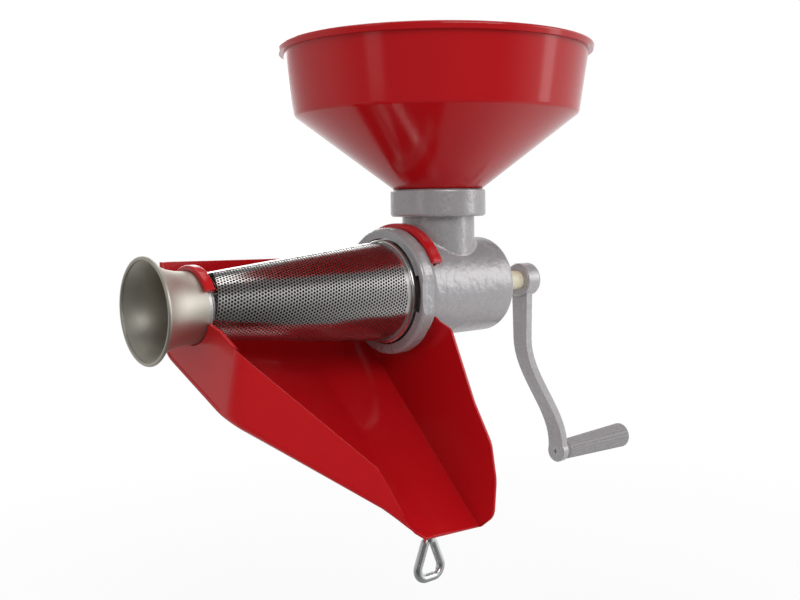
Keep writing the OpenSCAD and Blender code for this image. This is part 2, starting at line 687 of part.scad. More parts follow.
module grip_nut() {
  color([0.7, 0.7, 0.7]) barrel_frame()
    translate([pin_end - nut_t + gap, 0, -crank_throw]) rotate([0, 90, 0]) difference() {
      cylinder(h = nut_t - gap, r = cap_r - 0.6, $fn = 6);
      translate([0, 0, -over]) cylinder(h = 9, r = grip_pin_r + snug);
    }
}

module grip_cap() {
  color([0.6, 0.6, 0.61]) barrel_frame() translate([grip_end - cap_t, 0, -crank_throw])
    rotate([0, 90, 0]) rotate_extrude() polygon([[0, gap], [cap_r - snug, gap],
      [cap_r - snug, cap_t - 0.5], [cap_r - 0.6, cap_t], [0, cap_t]]);
}

// ---------------------------------------------------------------- chute

// Share of the way from the spout's end to the crank's end, 0 to 1; lip_at is the lip's corner
function near_low(t) = t < lip_at ? lerp(near_low_left, near_low_lip, t / lip_at)
  : lerp(near_low_lip, near_low_right, (t - lip_at) / (1 - lip_at));
function back_low(t) = t < lip_at ? lerp(back_low_left, back_low_lip, t / lip_at)
  : lerp(back_low_lip, back_low_right, (t - lip_at) / (1 - lip_at));
function back_top(t) = lerp(back_top_left, back_top_right, t);
// Height of the near wall: falls slowly, then drops to the lip
function near_h(t) = let (s = t / lip_at)
  s < 0.7 ? lerp(near_tall, near_short, s / 0.7)
  : s < 0.9 ? lerp(near_short, lip_edge, pow((s - 0.7) / 0.2, 1.2)) : lip_edge;
// How far the near wall stands in, where it rounds into the end wall
function near_in(t) = let (d = t * chute_span)
  d >= corner_r ? 0 : corner_r - sqrt(corner_r * corner_r - pow(corner_r - d, 2));
function left_of(d) = [-d[1], d[0]];
// Rounded corner at c between directions d and e, moved in by w; leg is the corner's size
function corner(c, d, e, w, leg, k) = let (nd = left_of(d), ne = left_of(e), m = 1 + nd * ne,
    p = c + w * (nd + ne) / m, l = max(0.3, leg - w * abs(d * ne) / m))
  [for (i = [0 : k]) let (u = i / k) p - d * l * pow(1 - u, 2) + e * l * u * u];
// Cross-section of the chute from the near wall's edge round to the back edge, moved in by w
function section(t, w) = let (b = back_low(t), top = back_top(t), h = near_h(t),
    floor_way = unit(b - near_low(t)), n = near_low(t) + floor_way * near_in(t), up = unit(top - b),
    down = -unit(lerp(near_lean, -floor_way, smooth((t / lip_at - 0.82) / 0.14))))
  concat([n - down * h + w * left_of(down)],
    corner(n, down, floor_way, w, min(near_round, 0.45 * h), 6),
    corner(b, floor_way, up, w, back_round, 8), [top + w * left_of(up)]);

module chute_trough() {
  shares = concat([for (a = [0 : 15 : 90]) corner_r * (1 - cos(a)) / chute_span],
    [for (s = [0.25, 0.5, 0.66, 0.7, 0.74, 0.78, 0.82, 0.86, 0.9, 0.94, 1]) s * lip_at],
    [for (s = [0.33, 0.66, 1]) lerp(lip_at, 1, s)]);
  function at(t, w) = [for (p = section(t, w)) [lerp(-chute_left, -chute_right, t), p[0], p[1]]];
  m = len(shares);
  k = len(section(0, 0));
  w = 2 * k;
  loops = [for (t = shares) let (inner = at(t, chute_wall))
    concat(at(t, 0), [for (j = [k - 1 : -1 : 0]) inner[j]])];
  polyhedron([for (g = loops) each g], concat(
    [for (j = [0 : k - 2]) each [[j, j + 1, w - 1 - j], [j + 1, w - 2 - j, w - 1 - j]]],
    [for (i = [0 : m - 2]) for (j = [0 : w - 1]) let (a = i * w + j, b = i * w + (j + 1) % w)
      each [[a, b + w, b], [a, a + w, b + w]]],
    [for (j = [0 : k - 2]) let (o = (m - 1) * w)
      each [[o + j, o + w - 1 - j, o + j + 1], [o + j + 1, o + w - 1 - j, o + w - 2 - j]]]));
}

// A strap round the barrel's axis between two angles, 0 at the back and 90 at the top
module strap(pts, from, to) {
  rotate([90, 0, 90]) rotate([0, 0, from]) rotate_extrude(angle = to - from) polygon(pts);
}

// Rear plate's front edge, from the barrel round to the lip's tip.  Each corner is a share of
// that way, how far it stands out from the straight line, and its rounding.
function front_edge() = let (from = (web_r + 0.8) * [cos(edge_angle), sin(edge_angle)],
    tip = [-lip_out, -lip_drop], out = -left_of(unit(tip - from)))
  rounded([for (c = [[0, 0, 0], [0.023, 3, 3], [0.077, 14, 9], [0.436, 22.9, 60],
    [0.627, 31.5, 16], [0.795, 28.8, 34], [0.957, 19.1, 13], [0.999, 2.8, 3], [0.986, -0.8, 0]])
    let (p = lerp(from, tip, c[0]) + c[1] * out) [p[0], p[1], c[2]]]);
// Top edge of the end plate, from the spout's hook out to the near wall
function end_edge() = let (top = near_low(0) + near_tall * near_lean, hook = hook_r * unit(top))
  [hook * 0.9, lerp(hook, top, 0.35) + [0, 2], lerp(hook, top, 0.82)];

module juice_chute() {
  // the plates start inside the trough's wall, so that no two faces coincide
  end = section(0, chute_wall / 3);
  side = section(1, chute_wall / 3);
  last = len(end) - 1;
  set = 0.3;
  hook_x = -chute_left - 1.5;          // the front hook starts just outside the end plate
  color([0.78, 0.03, 0.06]) barrel_frame() {
    chute_trough();
    // end plate under the spout's neck
    difference() {
      plate(concat(end, [end[last] - [5, 0], [hook_r + 1, hook_r / 2], [0, 0]], end_edge()),
        set - chute_left, set - chute_left + chute_wall);
      translate([-chute_left - over, 0, 0]) rotate([0, 90, 0])
        cylinder(h = chute_wall + 3 * over, r = hook_r + set);
    }
    // rear plate, behind the flange
    difference() {
      plate(concat([for (i = [1 : last]) side[i]], [side[last] - [6, 0], [web_r - 4, 10], [0, 0]],
        front_edge()), -chute_right - chute_wall, -chute_right - set);
      translate([-chute_right - chute_wall - over, 0, 0]) rotate([0, 90, 0])
        cylinder(h = chute_wall + 3 * over, r = web_r - set);
    }
    // hook over the spout's neck
    strap(rounded([[hook_r, hook_x, 0], [hook_r + strap_t, hook_x, 1.2],
      [hook_r + strap_t, hook_x + front_hook_w, 1.2], [hook_r, hook_x + front_hook_w, 0]], 3),
      -20, 152);
    // hook behind the flange, stiffened by a web
    strap(rounded([[rear_hook_r, -rear_hook_x, 0], [rear_hook_r + strap_t, -rear_hook_x, 1.2],
      [rear_hook_r + strap_t, -rear_hook_x + rear_hook_w, 1.2],
      [rear_hook_r, -rear_hook_x + rear_hook_w, 0]], 3), -20, 153);
    strap([[web_r, -chute_right - chute_wall + set], [rear_hook_r + 1, -chute_right - chute_wall + set],
      [rear_hook_r + 1, -chute_right - 2 * set], [web_r, -chute_right - 2 * set]], -22, 153);
  }
}

// ---------------------------------------------------------------- clamp

module clamp_foot() {
  color([0.72, 0.72, 0.73]) translate([0, 0, foot_low]) difference() {
    rotate_extrude() polygon([[0, 0], [foot_r - 4, 0], [foot_r, 5], [foot_r, foot_h - 1],
      [foot_r - 1, foot_h], [0, foot_h]]);
    translate([0, 0, -over]) cylinder(h = foot_bore + over, r = stem_r + run);
  }
}

module foot_ring() {
  color([0.5, 0.5, 0.5]) translate([0, 0, foot_low - gap - ring_t]) difference() {
    cylinder(h = ring_t, r = stem_r + 2);
    translate([0, 0, -over]) cylinder(h = 4, r = stem_r + snug);
  }
}

// One bend of the eye: part of a ring of the rod about c, from angle a0 through turn
module eye_bend_at(c, r, a0, turn) {
  translate([c[0], 0, c[1]]) rotate([90, 0, 0]) rotate([0, 0, a0])
    rotate_extrude(angle = turn) translate([r, 0]) circle(r = eye_rod_r);
}
// A straight stretch of the eye, let a little way into the bends at both ends
module eye_rod(a, b) {
  way = b - a;
  into = 0.4;
  translate([a[0], 0, a[1]]) rotate([0, atan2(way[0], way[1]), 0])
    translate([0, 0, -into]) cylinder(h = norm(way) + 2 * into, r = eye_rod_r - snug);
}

module clamp_screw() {
  neck = foot_low - gap - ring_t;      // shoulder under the retaining ring
  out = [cos(eye_lean), sin(eye_lean)];
  top = [0, eye_top - eye_top_bend / sin(eye_lean)];
  low = [eye_half_w - eye_bend / tan(45 - eye_lean / 2), eye_low + eye_bend];
  left = [-low[0], low[1]];
  flip = [-out[0], out[1]];
  color([0.78, 0.79, 0.8]) {
    translate([0, 0, neck - over])
      cylinder(h = foot_low + foot_bore - gap - neck + over, r = stem_r);
    translate([0, 0, top[1] + 4]) cylinder(h = neck - gap - top[1] - 4, r = screw_r);
    eye_bend_at(top, eye_top_bend, eye_lean, 180 - 2 * eye_lean);
    eye_bend_at(low, eye_bend, -90, 90 + eye_lean);
    eye_bend_at(left, eye_bend, 180 - eye_lean, 90 + eye_lean);
    eye_rod(top + out * eye_top_bend, low + out * eye_bend);
    eye_rod(top + flip * eye_top_bend, left + flip * eye_bend);
    eye_rod([-low[0], eye_low], [low[0], eye_low]);
  }
}

mill_body();
hopper();
screen_cone();
screen_ring();
screen_end_ring();
waste_spout();
screen_seal();
auger();
drive_shaft();
auger_pin();
auger_spring();
thrust_washer();
shaft_seal();
shaft_bush();
crank_arm();
crank_washer();
crank_screw();
grip();
grip_pin();
grip_washer();
grip_nut();
grip_cap();
juice_chute();
clamp_screw();
clamp_foot();
foot_ring();
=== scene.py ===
"""Hand-cranked food mill: materials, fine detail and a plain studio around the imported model."""

import math

import bmesh
import bpy
from bpy.props import FloatProperty, FloatVectorProperty, IntProperty, PointerProperty
from mathutils import Matrix, Vector, kdtree


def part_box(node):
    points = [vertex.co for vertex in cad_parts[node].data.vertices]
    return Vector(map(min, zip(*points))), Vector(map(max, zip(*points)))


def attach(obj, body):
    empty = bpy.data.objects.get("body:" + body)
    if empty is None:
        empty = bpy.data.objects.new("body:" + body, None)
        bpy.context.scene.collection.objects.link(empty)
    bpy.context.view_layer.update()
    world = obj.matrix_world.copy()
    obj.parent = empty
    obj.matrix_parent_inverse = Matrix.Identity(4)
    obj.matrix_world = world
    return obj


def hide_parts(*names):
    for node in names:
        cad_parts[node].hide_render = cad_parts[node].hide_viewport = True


bl_info = {
    "name": "Food mill",
    "version": (1, 0, 0),
    "blender": (4, 5, 0),
    "location": "View3D > Sidebar > Food mill",
    "description": "Finishes a hand-cranked food mill and sets it in a plain studio",
    "category": "Object",
}

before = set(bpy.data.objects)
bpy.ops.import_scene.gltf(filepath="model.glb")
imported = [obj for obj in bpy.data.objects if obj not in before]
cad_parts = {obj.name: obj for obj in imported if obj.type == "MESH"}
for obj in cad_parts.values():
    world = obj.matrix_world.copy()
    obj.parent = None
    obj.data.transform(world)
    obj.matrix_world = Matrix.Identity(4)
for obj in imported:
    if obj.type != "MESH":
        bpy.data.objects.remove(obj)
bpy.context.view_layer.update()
MM = 0.001


# ---------------------------------------------------------------- where the main pieces are

def node_box(node):
    """Lowest and highest corner of a CAD node, as vectors."""
    low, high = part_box(node)
    return Vector(low), Vector(high)


# The screen is a cone that narrows towards the spout, at -X
SCREEN_LOW, SCREEN_HIGH = node_box("screen_cone")
SCREEN_LEN = SCREEN_HIGH.x - SCREEN_LOW.x
SCREEN_BIG_R = (SCREEN_HIGH.z - SCREEN_LOW.z) / 2
SCREEN_DROP = 17.2 * MM     # how much smaller the radius of its small end is
SCREEN_SMALL_R = SCREEN_BIG_R - SCREEN_DROP
SCREEN_SLOPE = SCREEN_DROP / SCREEN_LEN
AXIS_Z = (SCREEN_LOW.z + SCREEN_HIGH.z) / 2
SHEET = 0.8 * MM            # thickness of the screen's sheet
TILE_MERGE = 0.002 * MM     # points of neighbouring tiles nearer than this are one
MIDDLE = 1e-7               # an angle this near to 0 is on the middle line
SMALL_RIM = 3.4 * MM        # plain strip at the screen's small end
BIG_RIM = 6 * MM            # plain strip at its big end
LIFT = 0.02 * MM            # how far plain strips stand off the perforated sheet
SEAM_RISE = 0.4 * MM        # how far the seam stands off it
STRIP_SEGMENTS = 96
SEAM_STEPS = 24
SHEET_BEND = math.radians(40)  # edges of the perforated sheet that bend more are sharp
STRIP_BEND = math.radians(35)  # and so are edges of its plain strips

THREAD_PITCH = 2 * MM
THREAD_LOW = 43 * MM        # the clamp screw's thread starts this far above its eye's low end
THREAD_HIGH = 10 * MM       # and ends this far below the screw's top

# The chute's copy: points nearer than MERGE are one, edges shorter than SLIVER go, facets that
# bend less than FLAT are one face, and edges that bend more than EASED get an eased edge
MERGE = 0.15 * MM
SLIVER = 0.01 * MM
FLAT = math.radians(0.2)
EASED = math.radians(50)

# Colours of small parts
GASKET = (0.62, 0.58, 0.5)
RUBBER = (0.02, 0.02, 0.02)
HARDWARE = (0.6, 0.6, 0.61)
ZINC_FOOT = (0.66, 0.67, 0.69)
ZINC_DULL = (0.62, 0.64, 0.67)
ZINC_BRIGHT = (0.80, 0.80, 0.79)
RING_STEEL = (0.68, 0.67, 0.65)


# ---------------------------------------------------------------- sizes and colours

class MillScreen(bpy.types.PropertyGroup):
    """The perforated screen."""
    pitch: FloatProperty(name="Hole pitch", description="Distance between neighbouring holes",
                         default=2.45 * MM, min=0.0018, max=0.006, unit="LENGTH")
    hole: FloatProperty(name="Hole diameter", description="Diameter of one hole",
                        default=1.8 * MM, min=0.0006, max=0.004, unit="LENGTH")
    seam: FloatProperty(name="Seam width", description="Width of the plain overlap along the top",
                        default=7 * MM, min=0.002, max=0.02, unit="LENGTH")
    welds: IntProperty(name="Spot welds", description="Number of spot welds along the seam",
                       default=14, min=2, max=40)
    weld: FloatProperty(name="Weld radius", description="Radius of one spot weld",
                        default=1.1 * MM, min=0.0003, max=0.003, unit="LENGTH")
    steel: FloatVectorProperty(name="Steel", description="Colour of the screen's steel", size=3,
                               subtype="COLOR", default=(0.70, 0.68, 0.66), min=0, max=1)


class MillFinish(bpy.types.PropertyGroup):
    """Colours of the finishes."""
    red: FloatVectorProperty(name="Red plastic", description="Colour of the hopper and the chute",
                             size=3, subtype="COLOR", default=(0.42, 0.005, 0.008), min=0, max=1)
    cast: FloatVectorProperty(name="Casting", description="Colour of the cast body and crank",
                              size=3, subtype="COLOR", default=(0.375, 0.365, 0.375), min=0, max=1)
    grip: FloatVectorProperty(name="Grip", description="Colour of the grip's plastic", size=3,
                              subtype="COLOR", default=(0.30, 0.29, 0.295), min=0, max=1)
    nylon: FloatVectorProperty(name="Nylon", description="Colour of the bushing and the sleeve",
                               size=3, subtype="COLOR", default=(0.75, 0.70, 0.52), min=0, max=1)
    # The auger's near-black colour is painted shade, so that the screen's holes read dark
    auger: FloatVectorProperty(name="Auger", description="Colour of the auger", size=3,
                               subtype="COLOR", default=(0.05, 0.05, 0.05), min=0, max=1)
    spout: FloatVectorProperty(name="Spout", description="Colour of the spout's steel", size=3,
                               subtype="COLOR", default=(0.60, 0.57, 0.50), min=0, max=1)
    ease: FloatProperty(name="Eased edges", description="Width of the chute's eased edges",
                        default=0.5 * MM, min=0.0001, max=0.001, unit="LENGTH")


class MillStage(bpy.types.PropertyGroup):
    """Studio around the mill."""
    key: FloatProperty(name="Light", description="Power that all lamps take their share of",
                       default=5.0, min=0, max=400, unit="POWER")
    world: FloatProperty(name="Surroundings", description="Brightness of the surroundings",
                         default=0.58, min=0, max=3)
    front: FloatProperty(name="Front in reflections", min=0, max=1, default=0.12,
                         description="Brightness that gloss sees in front")
    left: FloatProperty(name="Left in reflections", min=0, max=1, default=0.6,
                        description="Brightness that gloss sees on the left")
    above: FloatProperty(name="Above in reflections", min=0, max=1, default=0.22,
                         description="Brightness that gloss sees above")
    panel: FloatProperty(name="Panel in reflections", min=0, max=5, default=1.35,
                         description="Brightness of the panel that gloss sees")
    pale: FloatVectorProperty(name="Floor", description="Colour of the floor", size=3,
                              subtype="COLOR", default=(0.8, 0.8, 0.8), min=0, max=1)


# ---------------------------------------------------------------- node helpers

class Socket:
    """Wraps a node's output so that shader maths reads as Python."""

    def __init__(self, tree, output):
        self.tree = tree
        self.output = output

    def _math(self, operation, *values):
        return self.tree.get("ShaderNodeMath", operation=operation, inputs=values)

    def __add__(self, other):
        return self._math("ADD", self, other)

    def __radd__(self, other):
        return self._math("ADD", other, self)

    def __sub__(self, other):
        return self._math("SUBTRACT", self, other)

    def __rsub__(self, other):
        return self._math("SUBTRACT", other, self)

    def __mul__(self, other):
        return self._math("MULTIPLY", self, other)

    def __rmul__(self, other):
        return self._math("MULTIPLY", other, self)

    def __truediv__(self, other):
        return self._math("DIVIDE", self, other)

    def __rtruediv__(self, other):
        return self._math("DIVIDE", other, self)

    def __abs__(self):
        return self._math("ABSOLUTE", self)

    def sine(self):
        return self._math("SINE", self)

    def cosine(self):
        return self._math("COSINE", self)

    def root(self):
        return self._math("SQRT", self)

    def above(self, other):
        """1 where this is more than the other, else 0."""
        return self._math("GREATER_THAN", self, other)

    def arctan2(self, other):
        return self._math("ARCTAN2", self, other)

    def clamp(self):
        return self.tree.get("ShaderNodeClamp", inputs=(self, 0.0, 1.0))

    def smooth(self, start, end, low, high):
        """A smooth step from low, where this is at start, to high at end."""
        return self.tree.get("ShaderNodeMapRange", interpolation_type="SMOOTHSTEP",
                             inputs=(self, start, end, low, high))

    def dot(self, way):
        """How far this vector points along a direction."""
        return self.tree.get("ShaderNodeVectorMath", 1, operation="DOT_PRODUCT", inputs=(self, way))

    def split(self):
        """The three coordinates of this vector."""
        node = self.tree.new("ShaderNodeSeparateXYZ", inputs=(self,))
        return [Socket(self.tree, output) for output in node.outputs]


class Tree:
    """One way to add nodes: type, settings first, then values or links of its inputs."""

    def __init__(self, node_tree):
        self.nodes = node_tree.nodes
        self.links = node_tree.links
        self.nodes.clear()

    def new(self, kind, inputs=(), named=None, **settings):
        """A new node; inputs go by their order, named ones by their name or number."""
        node = self.nodes.new(kind)
        for key, value in settings.items():
            setattr(node, key, value)
        pairs = list(enumerate(inputs)) + list((named or {}).items())
        for key, value in pairs:
            if isinstance(value, Socket):
                self.links.new(value.output, node.inputs[key])
            elif value is not None:
                node.inputs[key].default_value = value
        return node

    def get(self, kind, output=0, inputs=(), named=None, **settings):
        """One output of a new node."""
        return Socket(self, self.new(kind, inputs, named, **settings).outputs[output])

    def output(self, kind, result):
        """Links the result to the tree's output node."""
        self.links.new(result.output, self.new(kind).inputs[0])


class Finish(Tree):
    """A material under construction."""

    def __init__(self, name):
        self.material = bpy.data.materials.new(name)
        self.material.use_nodes = True
        super().__init__(self.material.node_tree)
        self.surface = self.new("ShaderNodeBsdfPrincipled")
        self.output("ShaderNodeOutputMaterial", Socket(self, self.surface.outputs[0]))
        self.place = self.get("ShaderNodeTexCoord", 3)

    def noise(self, scale, detail=2.0, rough=0.5, stretch=None):
        """Noise in the object's own coordinates, 0 to 1; scale is in features a metre."""
        place = self.place
        if stretch:
            place = self.get("ShaderNodeMapping", named={"Vector": place, "Scale": stretch})
        return self.get("ShaderNodeTexNoise", named={"Vector": place, "Scale": scale,
                                                     "Detail": detail, "Roughness": rough})

    def mix(self, amount, a, b):
        """Colour between a and b."""
        a, b = (c if isinstance(c, Socket) else (*c, 1.0) for c in (a, b))
        return self.get("ShaderNodeMix", 2, data_type="RGBA", named={0: amount, 6: a, 7: b})

    def vary(self, amount, colour, darker, lighter):
        """A colour that varies between a darker and a lighter shade of itself."""
        return self.mix(amount, shade(colour, darker), shade(colour, lighter))

    def bump(self, height, strength, depth, under=None):
        """Bump of a height, on top of another bump if one is given."""
        named = {"Strength": strength, "Distance": depth, "Height": height, "Normal": under}
        return self.get("ShaderNodeBump", named=named)

    def set(self, **values):
        """Sets or links the shader's inputs; underscores stand for spaces."""
        for key, value in values.items():
            socket = self.surface.inputs[key.replace("_", " ")]
            if isinstance(value, Socket):
                self.links.new(value.output, socket)
            else:
                socket.default_value = value
        return self.material


def shade(colour, factor):
    """A colour made lighter or darker."""
    return tuple(min(1.0, c * factor) for c in colour)


# ---------------------------------------------------------------- finishes

def red_plastic(name, colour):
    """Glossy injection-moulded plastic with faint flow marks and fine scuffs."""
    f = Finish(name)
    flow = f.noise(scale=14, detail=3, rough=0.55, stretch=(1, 1, 0.35))
    scuff = f.noise(scale=260, detail=2, rough=0.6)
    ripple = f.noise(scale=30, detail=1, rough=0.3)
    return f.set(Base_Color=f.vary(flow, colour, 0.93, 1.08),
                 Roughness=0.1 + flow * 0.05 + scuff * 0.05,
                 Normal=f.bump(ripple, strength=0.025, depth=0.8 * MM),
                 Specular_IOR_Level=0.42, IOR=1.5)


def cast_metal(name, colour):
    """Silver-painted casting: lumpy sand skin, fine grain, soft mottling and darker pits."""
    f = Finish(name)
    mottled = f.noise(scale=38, detail=4, rough=0.6)
    lumps = f.noise(scale=150, detail=2, rough=0.5)
    sand = f.noise(scale=700, detail=3, rough=0.6)
    pits = f.noise(scale=340, detail=2, rough=0.5)
    pitted = ((pits - 0.6) * 5).clamp() * 0.4
    tone = f.mix(pitted, f.vary(mottled, colour, 0.9, 1.1), shade(colour, 0.6))
    skin = f.bump(lumps, strength=0.6, depth=1 * MM)
    skin = f.bump(sand, strength=0.15, depth=0.25 * MM, under=skin)
    return f.set(Base_Color=tone, Metallic=0.3, Roughness=0.2 + mottled * 0.14, Normal=skin)


def spun_steel(name, colour, rough):
    """Stainless sheet spun round the barrel's axis, with fine polishing lines that follow it."""
    f = Finish(name)
    line = f.noise(scale=2080, detail=2, rough=0.6, stretch=(1, 0.012, 0.012))
    broad = f.noise(scale=260, detail=2, rough=0.5, stretch=(1, 0.03, 0.03))
    smudge = f.noise(scale=30, detail=3, rough=0.6)
    return f.set(Base_Color=f.vary(broad, colour, 0.93, 1.06), Metallic=1.0,
                 Roughness=rough + broad * 0.08 + smudge * 0.08,
                 Normal=f.bump(line, strength=0.08, depth=0.08 * MM))


def perforated_steel(name, colour, rough):
    """Polished sheet whose punched holes have dull walls between its two faces, painted near black as
    shade in the holes.
    """
    f = Finish(name)
    x, y, z = f.place.split()
    z = z - AXIS_Z
    outer = x * SCREEN_SLOPE + (SCREEN_BIG_R - SCREEN_HIGH.x * SCREEN_SLOPE)
    depth = outer - (y * y + z * z).root()
    margin = 0.05 * MM
    wall = depth.above(margin) * (1 - depth.above(SHEET - margin))
    broad = f.noise(scale=80, detail=2, rough=0.5, stretch=(0.15, 1, 1))
    smudge = f.noise(scale=30, detail=3, rough=0.6)
    # The hole walls are painted near black, a tenth of the steel, as painted shade in the holes; less
    # metal and more roughness make them dull
    return f.set(Base_Color=f.mix(wall, f.vary(broad, colour, 0.93, 1.06), shade(colour, 0.1)),
                 Metallic=1 - wall * 0.6,
                 Roughness=rough + broad * 0.08 + smudge * 0.08 + wall * 0.5)


def turned_steel(name, colour, rough):
    """Bright turned steel for the small hardware."""
    f = Finish(name)
    fine = f.noise(scale=2400, detail=2, rough=0.6, stretch=(1, 0.05, 0.05))
    worn = f.noise(scale=120, detail=3, rough=0.6)
    return f.set(Base_Color=f.vary(worn, colour, 0.85, 1.1), Metallic=1.0,
                 Roughness=rough + worn * 0.15,
                 Normal=f.bump(fine, strength=0.1, depth=0.06 * MM))


def threaded_zinc(name, low, high):
    """Bright zinc plate with a screw thread between two heights."""
    f = Finish(name)
    x, y, z = f.place.split()
    wave = (z * (2 * math.pi / THREAD_PITCH) - y.arctan2(x)).sine()
    groove = wave * (z.above(low) * (1 - z.above(high)))
    grain = f.noise(scale=260, detail=3, rough=0.6)
    skin = f.bump(grain, strength=0.12, depth=0.2 * MM)
    skin = f.bump(groove, strength=0.9, depth=0.6 * MM, under=skin)
    return f.set(Base_Color=f.mix(grain, ZINC_DULL, ZINC_BRIGHT), Metallic=1.0,
                 Roughness=0.2 + grain * 0.16, Normal=skin)


def moulded(name, colour, rough):
    """Matt or satin plastic with a fine moulded grain."""
    f = Finish(name)
    flow = f.noise(scale=45, detail=3, rough=0.6)
    grain = f.noise(scale=1100, detail=2, rough=0.6)
    return f.set(Base_Color=f.vary(flow, colour, 0.9, 1.1), Roughness=rough + flow * 0.12,
                 Normal=f.bump(grain, strength=0.2, depth=0.15 * MM))


def auger_nylon_and_shade(name, colour, sleeve, start):
    """Satin nylon, painted near black along the screw as shade seen through the screen's holes, and
    ivory on the sleeve behind it.
    """
    f = Finish(name)
    x = f.place.split()[0]
    flow = f.noise(scale=45, detail=3, rough=0.6)
    grain = f.noise(scale=700, detail=2, rough=0.6)
    # Near black along the screw is painted shade seen through the holes; the sleeve keeps its ivory
    # nylon
    tone = f.mix(x.above(start), f.vary(flow, colour, 0.9, 1.1), f.vary(flow, sleeve, 0.93, 1.05))
    return f.set(Base_Color=tone, Roughness=0.3 + flow * 0.12,
                 Normal=f.bump(grain, strength=0.1, depth=0.15 * MM))


def paint_nodes(finish, *nodes):
    """Gives CAD nodes their finish."""
    for node in nodes:
        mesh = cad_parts[node].data
        if not mesh.materials:
            mesh.materials.append(finish)
        for index in range(len(mesh.materials)):
            mesh.materials[index] = finish


# ---------------------------------------------------------------- mesh helpers

def add_piece(name, mesh):
    """A mesh as an object at the origin."""
    piece = bpy.data.objects.new(name, mesh)
    bpy.context.collection.objects.link(piece)
    return piece


def add_mesh(name, verts, faces, material, smooth=True):
    """A new mesh object in the part's frame."""
    mesh = bpy.data.meshes.new(name)
    mesh.from_pydata([tuple(v) for v in verts], [], faces)
    mesh.materials.append(material)
    mesh.validate()
    for polygon in mesh.polygons:
        polygon.use_smooth = smooth
    return add_piece(name, mesh)


def evaluated(name, source):
    """A plain mesh object of a source with its modifiers applied; the source goes."""
    graph = bpy.context.evaluated_depsgraph_get()
    result = bpy.data.meshes.new_from_object(source.evaluated_get(graph))
    result.name = name
    bpy.data.objects.remove(source)
    if not result.polygons:
        raise RuntimeError(name + " came out empty")
    return add_piece(name, result)


def eased_copy(name, node, body, material, ease):
    """A CAD node's mesh merged, its fine facets shaded smooth and its sharp edges eased."""
    work = bmesh.new()
    work.from_mesh(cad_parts[node].data)
    bmesh.ops.remove_doubles(work, verts=work.verts, dist=MERGE)
    bmesh.ops.dissolve_degenerate(work, edges=work.edges, dist=SLIVER)
    bmesh.ops.dissolve_limit(work, angle_limit=FLAT, verts=work.verts, edges=work.edges)
    for face in work.faces:
        face.smooth = True
        face.material_index = 0
    clean = bpy.data.meshes.new(name + "_merged")
    work.to_mesh(clean)
    work.free()
    source = add_piece(name + "_merged", clean)
    bevel = source.modifiers.new("ease", "BEVEL")
    bevel.width = ease
    bevel.segments = 2
    bevel.limit_method = "ANGLE"
    bevel.angle_limit = EASED
    bevel.use_clamp_overlap = False
    weighed = source.modifiers.new("weigh", "WEIGHTED_NORMAL")
    weighed.weight = 100
    piece = evaluated(name, source)
    piece.data.materials.clear()
    piece.data.materials.append(material)
    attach(piece, body)
    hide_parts(node)


# ---------------------------------------------------------------- operators for the CAD nodes

class MILL_OT_casting(bpy.types.Operator):
    """Finishes the cast body and the pieces pressed into it"""
    bl_idname = "mill.casting"
    bl_label = "Casting"

    def execute(self, context):
        look = context.scene.mill_finish
        paint_nodes(cast_metal("cast_body", look.cast), "mill_body")
        paint_nodes(moulded("pale_gasket", GASKET, 0.5), "screen_seal")
        paint_nodes(moulded("black_rubber", RUBBER, 0.6), "shaft_seal")
        paint_nodes(moulded("bush_nylon", look.nylon, 0.35), "shaft_bush")
        return {"FINISHED"}


class MILL_OT_plastic(bpy.types.Operator):
    """Finishes the red hopper and chute"""
    bl_idname = "mill.plastic"
    bl_label = "Hopper and chute"

    def execute(self, context):
        look = context.scene.mill_finish
        paint_nodes(red_plastic("hopper_red", look.red), "hopper")
        # The chute is the hopper's red made 15% lighter: a painted lighter copy that stands in for more
        # light inside the chute
        chute_red = red_plastic("chute_red", shade(look.red, 1.15))
        paint_nodes(chute_red, "juice_chute")
        eased_copy("eased_chute", "juice_chute", "mill", chute_red, look.ease)
        return {"FINISHED"}


class MILL_OT_crank(bpy.types.Operator):
    """Finishes the crank, its grip, the auger and the drive"""
    bl_idname = "mill.crank"
    bl_label = "Crank and auger"

    def execute(self, context):
        look = context.scene.mill_finish
        bush_front = node_box("shaft_bush")[0].x
        # The crank takes the casting colour made 15% lighter, a painted lighter copy of the body's
        # finish
        paint_nodes(cast_metal("crank_cast", shade(look.cast, 1.15)), "crank_arm")
        paint_nodes(moulded("grip_grey", look.grip, 0.4), "grip", "grip_cap", "grip_washer")
        paint_nodes(auger_nylon_and_shade("auger_nylon_and_shade", look.auger, look.nylon, bush_front), "auger")
        paint_nodes(turned_steel("turned_steel", HARDWARE, 0.3), "drive_shaft", "auger_pin",
                    "auger_spring", "thrust_washer", "crank_washer", "crank_screw", "grip_pin",
                    "grip_nut")
        return {"FINISHED"}


class MILL_OT_clamp(bpy.types.Operator):
    """Finishes the clamp screw, its foot and its ring"""
    bl_idname = "mill.clamp"
    bl_label = "Clamp screw"

    def execute(self, context):
        low, high = node_box("clamp_screw")
        zinc = threaded_zinc("zinc_thread", low.z + THREAD_LOW, high.z - THREAD_HIGH)
        paint_nodes(zinc, "clamp_screw")
        paint_nodes(turned_steel("zinc_foot", ZINC_FOOT, 0.26), "clamp_foot", "foot_ring")
        return {"FINISHED"}


class MILL_OT_spout(bpy.types.Operator):
    """Finishes the waste spout and the rings of the screen"""
    bl_idname = "mill.spout"
    bl_label = "Spout and rings"

    def execute(self, context):
        look = context.scene.mill_finish
        paint_nodes(spun_steel("spout_steel", look.spout, 0.42), "waste_spout")
        paint_nodes(spun_steel("ring_steel", RING_STEEL, 0.14), "screen_ring",
                    "screen_end_ring")
        return {"FINISHED"}


# ---------------------------------------------------------------- perforated screen

